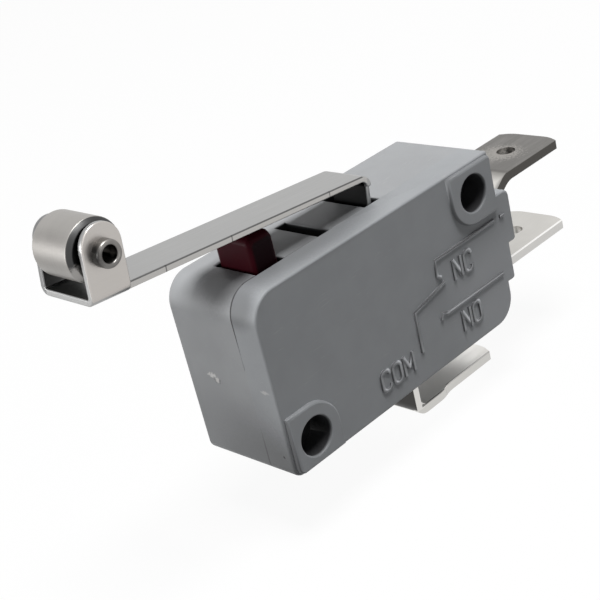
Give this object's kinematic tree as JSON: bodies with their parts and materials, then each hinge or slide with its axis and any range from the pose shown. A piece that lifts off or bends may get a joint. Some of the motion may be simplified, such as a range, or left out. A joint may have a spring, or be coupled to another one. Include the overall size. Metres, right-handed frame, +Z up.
{
  "type": "micro switch",
  "caption": "Snap-action micro switch: flat grey plastic body with through holes, a sheet-metal roller lever over a push button, and flat push-on tabs for its changeover contact.",
  "frame": {"origin": "on the axis of the mounting hole nearest the plunger, halfway through the body's depth", "axes": "+X along the body from the roller end to the end terminals, -Y out of the cover's face, +Z up towards the lever"},
  "size_m": [0.0509, 0.0104, 0.0292],
  "materials": {
    "grey_plastic": "moulded matte grey",
    "red_plastic": "moulded dark red",
    "nickel_steel": "nickel-plated sheet steel",
    "tinned_brass": "tin-plated brass strip",
    "copper_alloy": "bare copper alloy",
    "contact_silver": "bare silver alloy",
    "spring_steel": "bright drawn wire"
  },
  "bodies": {
    "body": {"case": "grey_plastic", "cover": "grey_plastic", "com_terminal": "tinned_brass", "nc_terminal": "tinned_brass", "no_terminal": "tinned_brass", "nc_contact": "contact_silver", "no_contact": "contact_silver"},
    "lever": {"lever": "nickel_steel", "roller_rivet": "nickel_steel"},
    "roller": {"roller": "nickel_steel"},
    "plunger": {"plunger": "red_plastic"},
    "drive_arm": {"drive_arm": "nickel_steel"},
    "spring": {"snap_spring": "spring_steel"},
    "blade": {"contact_blade": "copper_alloy", "moving_contact": "contact_silver"}
  },
  "joints": [
    {"name": "lever_hinge", "type": "hinge", "parent": "body", "child": "lever", "pos_m": [0.01355, 0, 0.0122], "axis": [0, -1, 0], "range_deg": [0, 10], "stiffness_Nm_per_rad": 0.06, "springref_deg": -5.73},
    {"name": "roller_spin", "type": "hinge", "parent": "lever", "child": "roller", "pos_m": [-0.01168, 0.0002, 0.02075], "axis": [0, 1, 0], "continuous": true},
    {"name": "plunger_slide", "type": "slide", "parent": "body", "child": "plunger", "axis": [0, 0, -1], "range_m": [0, 0.00199]},
    {"name": "drive_arm_hinge", "type": "hinge", "parent": "body", "child": "drive_arm", "pos_m": [0.01238, 0, 0.0049], "axis": [0, -1, 0], "range_deg": [0, 11.14]},
    {"name": "spring_hinge", "type": "hinge", "parent": "drive_arm", "child": "spring", "pos_m": [0.00155, 0, 0.00595], "axis": [0, 1, 0], "range_deg": [0, 4.84]},
    {"name": "blade_hinge", "type": "hinge", "parent": "body", "child": "blade", "pos_m": [0.01282, 0, 0.0038], "axis": [0, 1, 0], "range_deg": [0, 8.2]}
  ],
  "couplings": [
    {"joint": "plunger_slide", "follows": "lever_hinge", "m_per_rad": 0.011363},
    {"joint": "drive_arm_hinge", "follows": "lever_hinge", "ratio": 1.1127},
    {"joint": "spring_hinge", "follows": "lever_hinge", "ratio": 0.48222},
    {"joint": "blade_hinge", "follows": "lever_hinge", "ratio": 0.81921}
  ]
}
